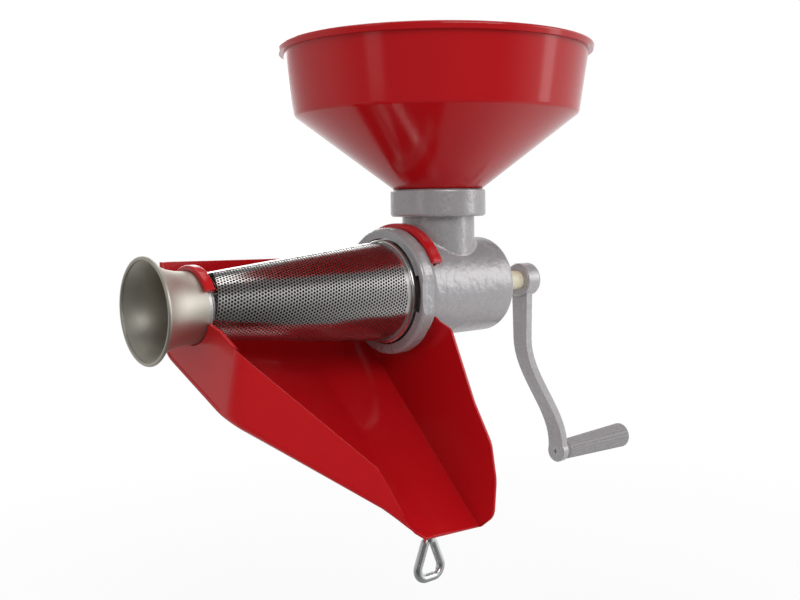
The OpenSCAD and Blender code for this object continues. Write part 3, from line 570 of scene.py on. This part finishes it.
def cone():
    """The screen's cone: half angle, and distances from its tip to both ends along its side."""
    half = math.atan2(SCREEN_BIG_R - SCREEN_SMALL_R, SCREEN_LEN)
    return half, SCREEN_SMALL_R / math.sin(half), SCREEN_BIG_R / math.sin(half)


def on_cone(along, angle, out):
    """A point of the cone: distance from the tip, angle from its underside, height off it."""
    half, _, far = cone()
    radius = along * math.sin(half) + out * math.cos(half)
    x = SCREEN_HIGH.x - (far * math.cos(half) - along * math.cos(half) + out * math.sin(half))
    return Vector((x, -radius * math.sin(angle), AXIS_Z - radius * math.cos(angle)))


def perforated_tile(pitch, hole):
    """One six-sided tile of flat sheet with a round hole, its top at height 0."""
    corners = [(pitch / math.sqrt(3), math.radians(60 * i)) for i in range(6)]
    rim = [(hole / 2, math.radians(30 * i)) for i in range(12)]
    verts = [(r * math.cos(a), r * math.sin(a), z) for z in (0.0, -SHEET) for r, a in corners + rim]
    first, lower = len(corners), len(corners + rim)
    faces = []
    for i in range(6):
        j = (i + 1) % 6
        a, b, c = (first + (2 * i + k) % 12 for k in range(3))
        faces.append((i, j, c, b, a))
        faces.append((lower + a, lower + b, lower + c, lower + j, lower + i))
    for i in range(12):
        a, b = first + i, first + (i + 1) % 12
        faces.append((a, b, lower + b, lower + a))
    mesh = bpy.data.meshes.new("tile")
    mesh.from_pydata(verts, [], faces)
    return mesh


def geometry_tree(name, **inputs):
    """A new geometry tree with a geometry input and named number inputs, and those as sockets."""
    group = bpy.data.node_groups.new(name, "GeometryNodeTree")
    face = group.interface
    face.new_socket("Geometry", in_out="INPUT", socket_type="NodeSocketGeometry")
    for key, kind in inputs.items():
        face.new_socket(key.replace("_", " "), in_out="INPUT", socket_type="NodeSocket" + kind)
    face.new_socket("Geometry", in_out="OUTPUT", socket_type="NodeSocketGeometry")
    tree = Tree(group)
    given = tree.new("NodeGroupInput")
    return group, tree, {output.name: Socket(tree, output) for output in given.outputs if output.name}


def finish_geometry(tree, geometry, material):
    """Sets the material and links the tree's output."""
    done = tree.get("GeometryNodeSetMaterial", named={"Geometry": geometry, "Material": material})
    tree.output("NodeGroupOutput", done)


def perforation_tree(material):
    """Nodes that lay the tiles out flat in a staggered pattern and roll them into the cone."""
    group, tree, value = geometry_tree(
        "perforated_sheet", Pitch="Float", Columns="Int", Rows="Int", Near="Float", Far="Float",
        Half_sector="Float", Seam="Float", Side="Float", Sine="Float", Cosine="Float",
        Big_end="Float", Tip="Float", Height="Float")
    pitch, columns, rows = value["Pitch"], value["Columns"], value["Rows"]

    # two grids of points, one shifted by half a cell, make the staggered rows
    step = pitch * (math.sqrt(3) / 2)
    length = (columns - 1) * step * 2
    join = tree.new("GeometryNodeJoinGeometry")
    for shift_u, shift_v in ((0.0, 0.0), (1.0, 0.5)):
        grid = tree.get("GeometryNodeMeshGrid", inputs=(length, (rows - 1) * pitch, columns, rows))
        move = tree.get("ShaderNodeCombineXYZ", inputs=(
            value["Near"] + length * 0.5 + step * shift_u, pitch * shift_v, 0.0))
        moved = tree.get("GeometryNodeTransform", named={"Geometry": grid, "Translation": move})
        tree.links.new(moved.output, join.inputs[0])

    # keep the points inside the flat sector, off the seam and on one side; the row on the middle
    # line stays in both halves, so the halves overlap by that row
    x, y, z = tree.get("GeometryNodeInputPosition").split()
    reach = (x * x + y * y).root()
    angle = y.arctan2(x)
    to_seam = (value["Half sector"] - abs(angle)) * reach
    keep = (reach.above(value["Near"]) * value["Far"].above(reach) * to_seam.above(value["Seam"])
            * (angle * value["Side"]).above(-MIDDLE))
    kept = tree.get("GeometryNodeDeleteGeometry",
                    inputs=(Socket(tree, join.outputs[0]), 0.5 - keep))
    tiles = tree.get("GeometryNodeInstanceOnPoints",
                     named={"Points": kept, "Instance": value["Geometry"]})
    sheet = tree.get("GeometryNodeRealizeInstances", inputs=(tiles,))
    sheet = tree.get("GeometryNodeMergeByDistance", named={"Geometry": sheet, "Distance": TILE_MERGE})

    # roll the flat sector into the cone
    x, y, z = tree.get("GeometryNodeInputPosition").split()
    reach = (x * x + y * y).root()
    turn = y.arctan2(x) / value["Sine"]
    radius = reach * value["Sine"] + z * value["Cosine"]
    place = tree.get("ShaderNodeCombineXYZ", inputs=(
        value["Big end"] - (value["Tip"] - reach) * value["Cosine"] - z * value["Sine"],
        -1 * radius * turn.sine(), value["Height"] - radius * turn.cosine()))
    rolled = tree.get("GeometryNodeSetPosition", named={"Geometry": sheet, "Position": place})
    rolled = tree.get("GeometryNodeSetShadeSmooth", domain="FACE",
                      named={"Geometry": rolled, "Shade Smooth": True})
    bend = tree.get("GeometryNodeInputMeshEdgeAngle")
    rolled = tree.get("GeometryNodeSetShadeSmooth", domain="EDGE", named={
        "Geometry": rolled, "Selection": bend.above(SHEET_BEND), "Shade Smooth": False})
    finish_geometry(tree, rolled, material)
    return group


def weld_tree(material):
    """Nodes that set a flattened spot weld on each point."""
    group, tree, value = geometry_tree("spot_welds", Radius="Float", Rise="Float", Tilt="Float")
    dot = tree.get("GeometryNodeMeshUVSphere", inputs=(10, 6, value["Radius"]))
    size = tree.get("ShaderNodeCombineXYZ", inputs=(1.0, 1.0, value["Rise"]))
    tilt = tree.get("ShaderNodeCombineXYZ", inputs=(0.0, value["Tilt"], 0.0))
    dots = tree.get("GeometryNodeInstanceOnPoints", named={
        "Points": value["Geometry"], "Instance": dot, "Scale": size, "Rotation": tilt})
    real = tree.get("GeometryNodeRealizeInstances", inputs=(dots,))
    real = tree.get("GeometryNodeSetShadeSmooth", named={"Geometry": real, "Shade Smooth": True})
    finish_geometry(tree, real, material)
    return group


def grown(name, mesh, group, values):
    """Runs a geometry tree on a mesh and keeps the result as a plain mesh object."""
    source = add_piece(name + "_source", mesh)
    modifier = source.modifiers.new("grow", "NODES")
    modifier.node_group = group
    names = {item.name: item.identifier for item in group.interface.items_tree
             if item.in_out == "INPUT"}
    for key, value in values.items():
        modifier[names[key]] = value
    source.update_tag()
    return evaluated(name, source)


def wall_border(mesh):
    """Closes the outer border of the sheet: a wall from each border point to its partner below."""
    work = bmesh.new()
    work.from_mesh(mesh)
    border = [edge for edge in work.edges if edge.is_boundary]

    def height(vert):
        return math.hypot(vert.co.y, vert.co.z - AXIS_Z) - vert.co.x * SCREEN_SLOPE

    verts = {vert for edge in border for vert in edge.verts}
    middle = (max(map(height, verts)) + min(map(height, verts))) / 2
    lower = [vert for vert in verts if height(vert) < middle]
    tree = kdtree.KDTree(len(lower))
    for index, vert in enumerate(lower):
        tree.insert(vert.co, index)
    tree.balance()
    below = {vert: lower[tree.find(vert.co)[1]] for vert in verts if height(vert) >= middle}
    for edge in border:
        if edge.verts[0] in below and edge.verts[1] in below:
            loop = edge.link_loops[0]
            a, b = loop.vert, loop.link_loop_next.vert
            face = work.faces.new((b, a, below[a], below[b]))
            face.material_index = loop.face.material_index
    for edge in work.edges:
        if len(edge.link_faces) != 2:
            raise RuntimeError(mesh.name + " has an open border")
        edge.smooth = edge.calc_face_angle(0.0) < SHEET_BEND
    work.to_mesh(mesh)
    work.free()


def cone_strip(name, alongs, angles, top, bottom, material, closed):
    """A plain strip of sheet on the cone, with a row of angles for each distance from the tip."""
    n, m = len(alongs), len(angles[0])
    last = m if closed else m - 1
    verts = [on_cone(along, angle, height) for height in (top, bottom)
             for along, row in zip(alongs, angles) for angle in row]
    layer = n * m
    faces = []
    for i in range(n - 1):
        for j in range(last):
            a, b = i * m + j, i * m + (j + 1) % m
            faces.append((a, a + m, b + m, b))
            faces.append((layer + a, layer + b, layer + b + m, layer + a + m))
        if not closed:
            for a in (i * m, i * m + m - 1):
                faces.append((a, a + m, layer + a + m, layer + a))
    for i in (0, n - 1):
        for j in range(last):
            a, b = i * m + j, i * m + (j + 1) % m
            faces.append((a, b, layer + b, layer + a))
    piece = add_mesh(name, verts, faces, material)
    work = bmesh.new()
    work.from_mesh(piece.data)
    bmesh.ops.recalc_face_normals(work, faces=work.faces)
    for edge in work.edges:
        edge.smooth = edge.calc_face_angle(0.0) < STRIP_BEND
    work.to_mesh(piece.data)
    work.free()
    return piece


class MILL_OT_screen(bpy.types.Operator):
    """Rolls the perforated sheet, its plain ends and its welded seam"""
    bl_idname = "mill.screen"
    bl_label = "Perforated screen"

    def execute(self, context):
        sizes = context.scene.mill_screen
        steel = perforated_steel("screen_steel", sizes.steel, 0.1)
        self.sheet(sizes, steel)
        pieces = [*self.rims(steel), self.seam(sizes, steel), self.welds(sizes, steel)]
        for piece in pieces:
            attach(piece, "screen")
        return {"FINISHED"}

    def sheet(self, sizes, steel):
        """The perforated sheet, in two halves."""
        half, near, far = cone()
        start, end = near + SMALL_RIM, far - BIG_RIM
        sector = math.pi * math.sin(half)
        step = sizes.pitch * math.sqrt(3) / 2
        group = perforation_tree(steel)
        tile = perforated_tile(sizes.pitch, sizes.hole)
        values = {
            "Pitch": sizes.pitch, "Columns": int((end - start) / (2 * step)) + 2,
            "Rows": 2 * int(end * math.sin(sector) / sizes.pitch) + 3, "Near": start, "Far": end,
            "Half sector": sector, "Seam": sizes.seam / 2 + 0.2 * sizes.pitch,
            "Sine": math.sin(half), "Cosine": math.cos(half), "Big end": SCREEN_HIGH.x, "Tip": far,
            "Height": AXIS_Z}
        for name, side in (("screen_far_half", 1.0), ("screen_near_half", -1.0)):
            piece = grown(name, tile, group, {**values, "Side": side})
            wall_border(piece.data)
            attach(piece, "screen")
            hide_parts("screen_cone")

    def rims(self, steel):
        """The plain strips at both ends, which overlap the first and last holes a little."""
        _, near, far = cone()
        around = [2 * math.pi * i / STRIP_SEGMENTS for i in range(STRIP_SEGMENTS)]
        overlap = 1.6 * MM
        small = [near, near + overlap, near + SMALL_RIM + 0.2 * MM]
        big = [far - BIG_RIM - overlap, far - BIG_RIM / 2, far]
        return [cone_strip(name, alongs, [around] * 3, LIFT, -SHEET - LIFT, steel, True)
                for name, alongs in (("screen_small_band", small), ("screen_big_band", big))]

    def seam(self, sizes, steel):
        """The overlap along the top, a little proud of the sheet."""
        half, near, far = cone()
        alongs = [near + (far - near) * i / SEAM_STEPS for i in range(SEAM_STEPS + 1)]
        wide = [sizes.seam / 2 / (along * math.sin(half)) for along in alongs]
        angles = [[math.pi + w * k / 4 for k in range(-4, 5)] for w in wide]
        return cone_strip("screen_seam", alongs, angles, SEAM_RISE, -SHEET - LIFT, steel, False)

    def welds(self, sizes, steel):
        """Spot welds at equal steps along the seam."""
        half, near, far = cone()
        spots = [on_cone(near + (far - near) * (i + 1) / (sizes.welds + 1), math.pi, SEAM_RISE + LIFT)
                 for i in range(sizes.welds)]
        line = bpy.data.meshes.new("weld_line")
        line.from_pydata([tuple(v) for v in spots], [], [])
        return grown("seam_welds", line, weld_tree(steel),
                     {"Radius": sizes.weld, "Rise": 0.16, "Tilt": -half})


# ---------------------------------------------------------------- studio

IMAGE_W, IMAGE_H = 800, 600
CAMERA_PLACE = (-0.520402, -0.593773, 0.158552)
CAMERA_TURN, CAMERA_TILT, CAMERA_ROLL = (math.radians(a) for a in (41.933, -4.359, -0.808))
FOCAL_PIXELS = 1007.134
CENTRE_PIXELS = (437.255, 283.276)
SENSOR = 36.0

FLOOR_LEVEL = -0.21
FLOOR_HALF = 6.0
AIM = Vector((0.0, 0.0, 0.1))

# Lamps: name, place, width and height, share of the key's power
LAMPS = (("key", (-0.45, -1.65, 1.0), (1.3, 0.8), 2.35),
         ("left", (-1.5, -0.1, 0.6), (0.35, 1.4), 0.2),
         ("right", (1.2, -1.1, 0.6), (0.35, 1.4), 0.55),
         ("back", (0.5, 1.7, 0.8), (1.3, 0.8), 1.3),
         ("top", (0.1, 0.3, 1.9), (1.6, 1.2), 1.8))

# Directions of what gloss sees: two darker sides and a bright panel
FRONT = (-0.66, -0.75, 0.0)
LEFT = (-0.67, 0.74, 0.0)
PANEL = (0.69, -0.65, 0.3)
UP = (0.0, 0.0, 1.0)
WHITE = (1.0, 1.0, 1.0, 1.0)


def darker_sides(way, look):
    """How bright gloss sees the surroundings in a direction: darker in front and on the left."""
    front = way.dot(FRONT).smooth(0.0, 0.75, 1.0, look.front)
    return front * way.dot(LEFT).smooth(0.4, 0.95, 1.0, look.left)


class MILL_OT_stage(bpy.types.Operator):
    """Floor, lights, surroundings and camera"""
    bl_idname = "mill.stage"
    bl_label = "Studio"

    def execute(self, context):
        look = context.scene.mill_stage
        self.floor(look)
        self.world(context, look)
        self.lamps(look)
        self.camera(context)
        context.scene.view_settings.view_transform = "Standard"
        return {"FINISHED"}

    def floor(self, look):
        """A large pale floor: it shows the shadow under the mill and fades to white around it; to gloss
        it glows, with a painted shadow under the mill.
        """
        material = bpy.data.materials.new("pale_floor")
        material.use_nodes = True
        tree = Tree(material.node_tree)
        path = tree.new("ShaderNodeLightPath")
        seen = Socket(tree, path.outputs["Is Camera Ray"])
        glossy = Socket(tree, path.outputs["Is Glossy Ray"])
        spot = tree.get("ShaderNodeTexCoord", 3)
        reach = tree.get("ShaderNodeVectorMath", 1, operation="LENGTH", inputs=(spot,))
        way = tree.get("ShaderNodeVectorMath", operation="NORMALIZE", inputs=(spot,))
        fade = reach.smooth(0.25, 0.9, 0.86, 1.0)
        # What gloss sees of the floor is painted: dim near the mill as a painted shadow, and darker in
        # front and on the left like the surroundings
        gloss = reach.smooth(0.1, 0.5, 0.15, 0.95) * darker_sides(way, look)
        matt = tree.get("ShaderNodeBsdfDiffuse", inputs=((*look.pale, 1.0),))
        white = tree.get("ShaderNodeEmission", inputs=(WHITE, seen + (1 - seen) * gloss))
        share = (seen * fade + glossy).clamp()
        tree.output("ShaderNodeOutputMaterial",
                    tree.get("ShaderNodeMixShader", inputs=(share, matt, white)))
        corners = [(x * FLOOR_HALF, y * FLOOR_HALF, FLOOR_LEVEL)
                   for x, y in ((-1, -1), (1, -1), (1, 1), (-1, 1))]
        floor = add_mesh("floor", corners, [(0, 1, 2, 3)], material, smooth=False)

    def world(self, context, look):
        """White to the camera, even to the lit surfaces, and with darker parts and a panel to gloss."""
        world = bpy.data.worlds.new("studio")
        context.scene.world = world
        world.use_nodes = True
        tree = Tree(world.node_tree)
        path = tree.new("ShaderNodeLightPath")
        seen = Socket(tree, path.outputs["Is Camera Ray"])
        glossy = Socket(tree, path.outputs["Is Glossy Ray"])
        way = tree.get("ShaderNodeTexCoord", 0)
        gloss = darker_sides(way, look) * way.dot(UP).smooth(0.4, 0.7, 1.0, look.above)
        gloss = gloss + look.panel * way.dot(PANEL).smooth(0.94, 0.985, 0.0, 1.0)
        level = glossy * gloss + (1 - glossy) * look.world
        tree.output("ShaderNodeOutputWorld", tree.get(
            "ShaderNodeBackground", inputs=(WHITE, seen + (1 - seen) * level)))

    def lamps(self, look):
        """Large soft lamps, all aimed at the mill."""
        for name, spot, size, share in LAMPS:
            lamp = bpy.data.lights.new(name, "AREA")
            lamp.shape = "RECTANGLE"
            lamp.size, lamp.size_y = size
            lamp.energy = look.key * share
            holder = bpy.data.objects.new(name, lamp)
            holder.location = spot
            holder.rotation_euler = (AIM - Vector(spot)).to_track_quat("-Z", "Y").to_euler()
            bpy.context.collection.objects.link(holder)

    def camera(self, context):
        """The camera, from its turn round the vertical, its tilt and its roll."""
        turn, tilt, roll = CAMERA_TURN, CAMERA_TILT, CAMERA_ROLL
        ahead = Vector((math.sin(turn) * math.cos(tilt), math.cos(turn) * math.cos(tilt),
                        math.sin(tilt)))
        level = Vector((math.cos(turn), -math.sin(turn), 0.0))
        over = level.cross(ahead)
        right = level * math.cos(roll) + over * math.sin(roll)
        up = over * math.cos(roll) - level * math.sin(roll)
        data = bpy.data.cameras.new("camera")
        data.sensor_fit = "HORIZONTAL"
        data.sensor_width = SENSOR
        data.lens = FOCAL_PIXELS / IMAGE_W * SENSOR
        data.shift_x = -(CENTRE_PIXELS[0] - IMAGE_W / 2) / IMAGE_W
        data.shift_y = -(IMAGE_H / 2 - CENTRE_PIXELS[1]) / IMAGE_W
        data.clip_start = 0.01
        camera = bpy.data.objects.new("camera", data)
        rows = Matrix((right, up, -ahead)).transposed()
        camera.matrix_world = Matrix.Translation(CAMERA_PLACE) @ rows.to_4x4()
        bpy.context.collection.objects.link(camera)
        context.scene.camera = camera


# ---------------------------------------------------------------- panel and main

class MILL_PT_panel(bpy.types.Panel):
    """Lists the sizes, colours and pieces of the mill"""
    bl_label = "Food mill"
    bl_idname = "MILL_PT_panel"
    bl_space_type = "VIEW_3D"
    bl_region_type = "UI"
    bl_category = "Food mill"

    def draw(self, context):
        layout = self.layout
        for group in GROUPS:
            box = layout.box()
            settings = getattr(context.scene, group)
            for name in settings.bl_rna.properties.keys():
                if name not in ("rna_type", "name"):
                    box.prop(settings, name)
        for step in STEPS:
            layout.operator(step.bl_idname)


STEPS = (MILL_OT_casting, MILL_OT_plastic, MILL_OT_crank, MILL_OT_clamp, MILL_OT_spout, MILL_OT_screen,
         MILL_OT_stage)
GROUPS = {"mill_screen": MillScreen, "mill_finish": MillFinish, "mill_stage": MillStage}


def register():
    for item in (*GROUPS.values(), *STEPS, MILL_PT_panel):
        bpy.utils.register_class(item)
    for name, group in GROUPS.items():
        setattr(bpy.types.Scene, name, PointerProperty(type=group))


def unregister():
    for name in GROUPS:
        delattr(bpy.types.Scene, name)
    for item in (MILL_PT_panel, *reversed(STEPS), *reversed(GROUPS.values())):
        bpy.utils.unregister_class(item)


def main():
    """Makes every piece and the studio."""
    register()
    for step in STEPS:
        area, name = step.bl_idname.split(".")
        getattr(getattr(bpy.ops, area), name)()


if __name__ == "__main__":
    main()
